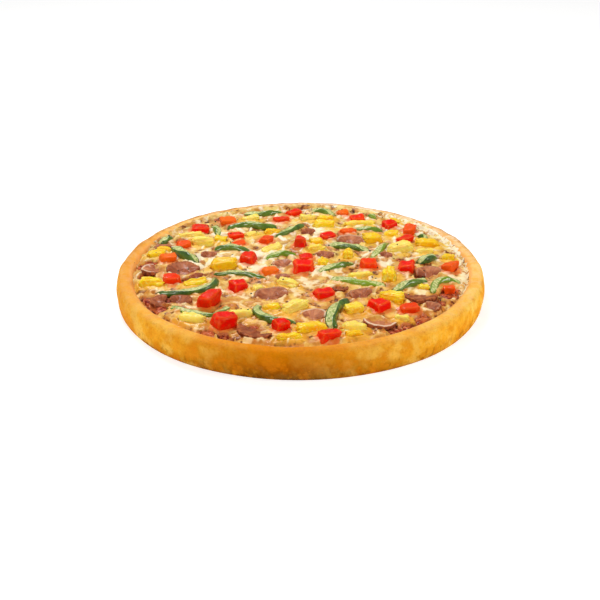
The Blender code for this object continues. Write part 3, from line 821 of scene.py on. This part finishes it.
def paintPepper():
    paint = foodPaint("green pepper", 0.08, 0.002, (0.5, 1, 0.2), 0.3, 0.1)
    tone = paint.layer("tone")
    broad = paint.noise(0.007, 3)
    fine = paint.noise(0.0018, 3)
    dark = paint.between(broad, 0.3, 0.7, (30, 68, 24), (88, 124, 42))
    lime = paint.mix(broad, rgb(104, 146, 20), rgb(156, 188, 46))
    skin = paint.mix(tone, dark, lime)
    flesh = paint.between(fine, 0.35, 0.65, (146, 166, 82), (220, 220, 152))
    share = paint.mask(paint.layer("flesh") + (broad - 0.5) * 0.9 + (fine - 0.5) * 0.3, 0.4, 0.8)
    rough = 0.24 + share * 0.2 + fine * 0.1
    return paint.finish(paint.mix(share, skin, flesh), rough, (1 - share) * 0.6, fine + broad, 0.0006, 0.5)


pepperPiece = finishPiece(addPeppers(), "pepper_strips", paintPepper(), "pepper")

# mushroom slices
mushroomLook = {
    "thick": 2.8 * mm,
    "spread": 1.16,
    "tilt": 7,
    "modelHalf": 0.09,  # half the model's thickness; it is one unit wide
    "cap": 0.52,
    "middle": 0.1,  # how far the slice's middle lies above the foot of the cap
    "cell": 0.034,
    "curl": 0.26,
    "dent": 0.04,
    "stemDip": 0.1,  # the stem dips into the cheese
}


def mushroomOutline():  # half a round cap on a short stem
    arc = [pi * step / 24 for step in range(25)]
    cap = [(0.5 * cos(a), mushroomLook["cap"] * sin(a) ** 0.85) for a in arc]
    gills = [(-0.32, -0.08), (-0.17, -0.03)]
    stem = [(-0.204, -0.26), (0.204, -0.26)]
    return cap + gills + stem + [(-x, y) for x, y in reversed(gills)]


def mushroomSlice():
    startFresh()
    bpy.ops.curve.primitive_bezier_circle_add(radius=0.5, location=(0, 0, 0))
    model = bpy.context.object
    outline = model.data
    outline.dimensions = "2D"
    outline.fill_mode = "BOTH"
    outline.extrude = mushroomLook["modelHalf"]
    outline.splines.clear()
    line = outline.splines.new("POLY")
    corners = mushroomOutline()
    line.points.add(len(corners) - 1)
    for point, (x, y) in zip(line.points, corners):
        point.co = (x, y - mushroomLook["middle"], 0, 1)
    line.use_cyclic_u = True
    bpy.ops.object.convert(target="MESH")
    model = bpy.context.object
    remesh = model.modifiers.new("Remesh", "REMESH")
    remesh.mode = "VOXEL"
    remesh.voxel_size = mushroomLook["cell"]
    smooth = model.modifiers.new("Smooth", "SMOOTH")
    smooth.iterations = 2
    applyModifiers(model)
    rows = []
    for vertex in model.data.vertices:
        x, y, z = vertex.co
        y += mushroomLook["middle"]
        fromMiddle = hypot(x / 0.5, y / mushroomLook["cap"])
        band = 1 - smoothStep(0.04, 0.13, abs(y - 0.03 + 0.5 * x * x))
        gilled = smoothStep(0.1, 0.17, abs(x)) * band
        streak = noise.noise(Vector((atan2(y + 0.06, x) * 4, fromMiddle * 1.5, 0.5)))
        skin = fromMiddle if y > -0.03 else 0
        rows.append((skin, gilled, smoothStep(0.035, 0.075, z), 0.5 + streak))
        vertex.co.z += mushroomLook["curl"] * x * x
        if z > 0:
            sunken = gilled + smoothStep(0.8, 0.3, fromMiddle)
            vertex.co.z += 0.012 * streak - mushroomLook["dent"] * sunken
        vertex.co.z -= mushroomLook["stemDip"] * smoothStep(0.05, -0.3, y)
    addLayers(model, ("skin", "gill", "top", "streak"), rows)
    return model


def addMushrooms():
    draws = random.Random(74)
    model = mushroomSlice()
    copies = []
    thick, tilt = mushroomLook["thick"], radians(mushroomLook["tilt"])
    for x, y, width, turn, dark in mushroomRows:
        wide = width * mushroomLook["spread"] * mm
        lean = Euler((tilt, radians(draws.uniform(-4, 4)), 0)).to_matrix().to_4x4()
        facing = Matrix.Rotation(radians(turn), 4, "Z")
        drop = sin(tilt) * 0.45 * width * mm  # by how much the low side hangs down
        low = levels["cheeseBottom"] + 1 * mm + drop
        bottom = max(cheeseLevel(x * mm, y * mm) - levels["sink"] * 0.6, low)
        place = Matrix.Translation((x * mm, y * mm, bottom + thick / 2 + 0.2 * drop))
        size = Matrix.Diagonal((wide, wide, thick / (2 * mushroomLook["modelHalf"]), 1))
        copies.append(copyOf(model, place @ facing @ lean @ size, {"dark": dark}))
    mushrooms = joinAll(copies, [model])
    clouds(mushrooms, "limp slices", 10 * mm, 2.4 * mm, 1, "Z")
    return mushrooms


def paintMushroom():
    paint = foodPaint("cooked mushroom", 0.1, 0.0015, (1, 0.2, 0.1), 0.1)
    fine = paint.noise(0.002, 4, 0.6)
    broad = paint.noise(0.007, 3)
    dark = paint.layer("dark")
    streak = paint.mask(paint.layer("streak") + (fine - 0.5) * 0.8, 0.3, 0.7)
    pale = paint.mix(streak, rgb(196, 122, 84), rgb(212, 140, 98))
    tan = paint.mix(streak, rgb(144, 72, 42), rgb(166, 88, 52))
    body = paint.mix(paint.mask(dark * 0.8 + (broad - 0.5) * 1.2, 0, 0.7), pale, tan)
    skin = paint.between(fine, 0.4, 0.6, (132, 60, 26), (190, 108, 58))
    raw = paint.layer("skin") + (fine - 0.5) * 0.15
    color = paint.mix(paint.mask(raw + dark * 0.22, 0.92, 1.08) * 0.85, body, skin)
    cut = paint.mask(raw, 0.8, 0.9) * paint.mask(raw, 1.0, 0.95)  # the pale line inside the skin
    color = paint.mix(cut * paint.mask(dark, 0.6, 0.2) * 0.8, color, rgb(248, 226, 196))
    gills = paint.mix(fine, rgb(104, 42, 28), rgb(156, 80, 56))
    color = paint.mix(paint.layer("gill") * 0.45, color, gills)
    # painted shade: the sides and underside of each slice are painted dark, as the shadow line below it
    wall = paint.between(fine, 0.4, 0.6, (96, 36, 22), (168, 88, 54))
    color = paint.mix(paint.mask(paint.layer("top"), 0.8, 0.2) * 0.75, color, wall)
    wet = paint.mask(broad, 0.45, 0.65) * 0.35
    return paint.finish(color, 0.35 + fine * 0.25, wet, streak * 0.3 + fine, 0.0006, 0.8)


mushroomPiece = finishPiece(addMushrooms(), "mushroom_slices", paintMushroom(), "mushroom")

# cheese
cheeseLook = {
    "cells": 236,
    "reach": 121.5 * mm,  # the film thins out over the inside of the rim
    "lumps": 0.45 * mm,
    "shreds": 0.8 * mm,
    "creep": 1.4 * mm,  # how far the cheese climbs at the foot of a topping
    "thin": 0.6 * mm,
    "bare": 2.6 * mm,  # how deep it drops where the sauce shows
    "film": 0.45 * mm,
    "ragged": [(4 * mm, 1.7 * mm), (1.6 * mm, 0.9 * mm)],  # size, reach of the film's edge
    "edge": 113.2 * mm,  # where the film ends, and how much farther it goes on some sides
    "edgeBack": 5.4 * mm,
    "edgeFront": 1.4 * mm,
    "edgeRight": 1.2 * mm,
    "edgeWave": 0.9 * mm,
    "wall": 114.5 * mm,  # from here out the film lies on the dough
    "footReach": 2.4 * mm,  # the marks round a topping fade over these
    "juiceReach": 3.6 * mm,
    "glowReach": 4 * mm,
}


def footTree():  # points under the toppings, each with its reach, and 1 for tomato or -1 for pineapple
    spots = []
    for x, y, side, *_ in tomatoRows:
        spots.append((x, y, side * 0.5, 1))
    for x, y, length, width, turn in pineappleRows:
        along = Vector((cos(radians(turn)), sin(radians(turn))))
        for share in (-0.32, 0, 0.32):
            spots.append((x + along.x * length * share, y + along.y * length * share, width * 0.5, -1))
    for _, width, *points in pepperRows:
        for place in smoothPath([Vector(point) for point in points], 9):
            spots.append((place.x, place.y, width * 0.45, 0))
    for x, y, width, turn, _ in mushroomRows:
        spots.append((x, y, width * 0.52, 0))
    spots = [(x * mm, y * mm, reach * mm, kind) for x, y, reach, kind in spots]
    tree = KDTree(len(spots))
    for index, (x, y, *_) in enumerate(spots):
        tree.insert((x, y, 0), index)
    tree.balance()
    return tree, spots


def shreds(at):  # long low lumps, one set for each way that grated cheese fell
    best = 0
    for index, turn in enumerate((0.2, 1.3, 2.5)):
        along = at.x * cos(turn) + at.y * sin(turn)
        side = at.y * cos(turn) - at.x * sin(turn)
        best = max(best, noise.noise(Vector((along / (9 * mm), side / (2.6 * mm), 3.7 * index))))
    return smoothStep(0.05, 0.65, best)


def fillingEdge(angle):  # where the filling ends on the inside of the rim
    back = max(0, sin(angle)) ** 1.5 * cheeseLook["edgeBack"]
    front = max(0, -sin(angle)) * cheeseLook["edgeFront"]
    right = max(0, cos(angle)) * cheeseLook["edgeRight"]
    uneven = wave(angle, 31, (3, 5, 8, 13, 19)) * cheeseLook["edgeWave"]
    return cheeseLook["edge"] + back + front + right + uneven


def faded(away, reach):  # 1 at a topping's foot, less farther off
    return exp(-((away / reach) ** 2))


def addCheese():
    startFresh()
    cells = cheeseLook["cells"]
    bpy.ops.mesh.primitive_grid_add(x_subdivisions=cells, y_subdivisions=cells, size=2,
                                    location=(0, 0, 0))
    cheese = bpy.context.object
    tree, spots = footTree()
    rows = []
    for vertex in cheese.data.vertices:
        u, v, _ = vertex.co
        x, y = u * sqrt(1 - v * v / 2), v * sqrt(1 - u * u / 2)  # the square becomes a disc
        share = hypot(x, y)
        x, y, radius = (value * cheeseLook["reach"] for value in (x, y, share))
        at = Vector((x, y, 0))
        bare = bareness(x, y)
        shred = shreds(at) * (1 - bare)
        pale = patch(palePatches, x, y) * 0.6 + 0.9 * noise.noise(at / (8 * mm) + Vector((7, 0, 0)))
        angle = atan2(y, x)
        frost = smoothStep(-0.75, -0.2, sin(angle)) * smoothStep(0.2, 0.85, cos(angle))
        frost *= smoothStep(108 * mm, 111 * mm, radius) * smoothStep(0, 0.3, shreds(at * 1.8))
        pale = max(pale * (1 - 0.5 * smoothStep(104 * mm, 109 * mm, radius)), frost * 0.85)
        lumps = noise.fractal(at / (8 * mm), 1.0, 2.1, 2) * cheeseLook["lumps"]
        thin = smoothStep(0.02, 0.42, noise.fractal(at / (9 * mm) + Vector((0, 5, 0)), 1.0, 2.1, 3))
        thin *= (1 - shred * 0.7) * (1 - 0.8 * min(1, max(0, pale)))
        _, index, distance = tree.find(at)
        *_, reach, kind = spots[index]
        away = max(0, distance - reach * 0.9)
        under = 1 - smoothStep(0.65, 1, distance / reach)  # 1 under a topping
        foot = faded(away, cheeseLook["footReach"])
        relief = lumps + shred * cheeseLook["shreds"] - thin * cheeseLook["thin"]
        relief += foot * cheeseLook["creep"]
        z = cheeseLevel(x, y) + relief * (1 - under) - bare * cheeseLook["bare"]
        onDough = smoothStep(cheeseLook["wall"] - 3 * mm, cheeseLook["wall"], radius)
        if onDough > 0:  # 1 is fully covered, below 0 the film is under the dough
            dough = topHit([crustTree], x, y)[0].z
            ragged = sum(noise.noise(at / size) * far for size, far in cheeseLook["ragged"])
            cover = (fillingEdge(angle) + ragged - radius) / (1.2 * mm)
            cover = min(1, max(-1, cover)) - 2 * smoothStep(0.97, 1, share)
            z += (dough + cheeseLook["film"] * cover - z) * onDough
        vertex.co = (x, y, z)
        juice = max(0, kind) * faded(away, cheeseLook["juiceReach"])
        glow = max(0, -kind) * faded(away, cheeseLook["glowReach"])
        rows.append((bare, min(1, max(0, pale)), shred, foot, thin, juice, glow))
    addLayers(cheese, ("bare", "pale", "shred", "foot", "thin", "juice", "glow"), rows)
    openEdit()  # a wall down into the dough and a flat underside
    bpy.ops.mesh.region_to_loop()
    extrudeUp(-1 * mm, 0.92)
    bpy.ops.transform.resize(value=(1, 1, 0), center_override=(0, 0, levels["cheeseBottom"]))
    bpy.ops.mesh.edge_face_add()
    closeEdit()
    return cheese


def paintCheese():
    paint = foodPaint("melted cheese", 0.12, 0.002, (1, 0.7, 0.3), 0.25)
    grain = paint.noise(0.001, 3, 0.6)
    fine = paint.noise(0.0032, 4, 0.55)
    blotch = paint.noise(0.007, 3, 0.5)
    broad = paint.noise(0.015, 4, 0.6)
    brown = paint.noise(0.004, 3, 0.6, (1, 1.6, 1), 0.4)
    shred = paint.layer("shred")
    thin = paint.layer("thin")
    color = paint.between(blotch, 0.36, 0.62, (202, 142, 56), (240, 214, 130))
    color = paint.glaze(color, (208, 146, 62), 0.5, broad, 0.48, 0.62)
    sauced = paint.between(fine, 0.38, 0.62, (140, 72, 30), (214, 146, 78))
    color = paint.mix(paint.mask(thin + (fine - 0.5) * 0.5, 0.3, 0.7) * 0.85, color, sauced)
    color = paint.glaze(color, (104, 46, 16), paint.mask(thin, 0.1, 0.5) * 0.9, brown, 0.5, 0.58)
    foot = paint.layer("foot")
    color = paint.glaze(color, (226, 146, 56), foot * 0.6, fine, 0.38, 0.6)  # oil
    # painted shade: a dark ring at the foot of each topping, where contact shadow falls
    color = paint.glaze(color, (158, 82, 32), 0.55, foot + (fine - 0.5) * 0.4, 0.8, 1.1)
    pineappleGlow = paint.layer("glow") + (blotch - 0.5) * 0.7  # painted yellow light thrown from the pineapple onto the cheese round it
    color = paint.glaze(color, (246, 198, 58), 0.65, pineappleGlow, 0.1, 0.8)
    white = paint.layer("pale") * 0.8 + shred * 0.6 + (fine - 0.5) * 0.9 - thin * 0.4
    color = paint.glaze(color, (255, 248, 222), 0.85, white, 0.28, 0.82)
    juicy = paint.layer("juice") + (fine - 0.5) * 0.7  # round the tomato
    color = paint.glaze(color, (238, 112, 48), 0.65, juicy, 0.2, 0.8)
    # darker and more golden towards the front: partly painted shade, partly browner baking
    color = paint.mix(paint.mask(paint.axis("Y"), 0.05, -0.09) * 0.8, color, rgb(255, 226, 168), "MULTIPLY")
    stain = paint.mask(paint.layer("bare") + (fine - 0.5) * 0.8, 0.15, 0.6)
    saucy = paint.between(fine, 0.4, 0.6, (116, 36, 16), (214, 116, 66))
    color = paint.mix(stain * 0.9, color, saucy)
    wet = paint.mask(broad, 0.45, 0.62) * 0.35
    return paint.finish(color, 0.28 + fine * 0.3, wet, fine + grain * 0.3, 0.0006, 0.4)


cheesePiece = finishPiece(addCheese(), "cheese_melted", paintCheese(), "cheese")

# pepper flakes and herbs
speckLook = {
    "count": 200,
    "smallest": 0.5 * mm,
    "largest": 1.8 * mm,
    "reach": 108 * mm,
    "backAngle": 105,  # every third one lies along the back
    "backSpread": 32,
    "backBand": (98, 117),
}


def addSpecks():
    toppings = (tomatoPiece, pineapplePiece, pepperPiece, mushroomPiece)
    trees = [crustTree] + [treeOf(piece) for piece in (cheesePiece, *toppings)]
    draws = random.Random(85)
    startFresh()
    bpy.ops.mesh.primitive_ico_sphere_add(subdivisions=1, radius=0.5, location=(0, 0, 0))
    flake = bpy.context.object
    copies = []
    for index in range(speckLook["count"]):
        angle = draws.uniform(0, 2 * pi)
        radius = speckLook["reach"] * sqrt(draws.random())
        if index % 3 == 0:
            angle = radians(draws.gauss(speckLook["backAngle"], speckLook["backSpread"]))
            radius = draws.uniform(*speckLook["backBand"]) * mm
        spot, normal, *_ = topHit(trees, radius * cos(angle), radius * sin(angle))
        size = draws.uniform(speckLook["smallest"], speckLook["largest"])
        facing = normal.to_track_quat("Z", "Y").to_matrix().to_4x4()
        turn = Matrix.Rotation(draws.uniform(0, 6.28), 4, "Z")
        shape = Matrix.Diagonal((size, size * draws.uniform(0.4, 0.9), size * 0.4, 1))
        place = Matrix.Translation(spot + normal * size * 0.1)
        copies.append(copyOf(flake, place @ facing @ turn @ shape, {"tone": draws.random()}))
    return joinAll(copies, [flake])


def paintSpecks():
    paint = Paint("pepper and herb flakes", {})
    fine = paint.noise(0.0006, 2)
    brown = paint.mix(fine, rgb(34, 22, 14), rgb(74, 46, 24))
    herb = paint.mix(fine, rgb(36, 56, 26), rgb(84, 100, 50))
    color = paint.mix(paint.mask(paint.layer("tone"), 0.5, 0.6), brown, herb)
    return paint.finish(color, 0.5 + fine * 0.3, 0, fine, 0.0002, 0.5)


finishPiece(addSpecks(), "pepper_flakes", paintSpecks(), "mushroom", [])
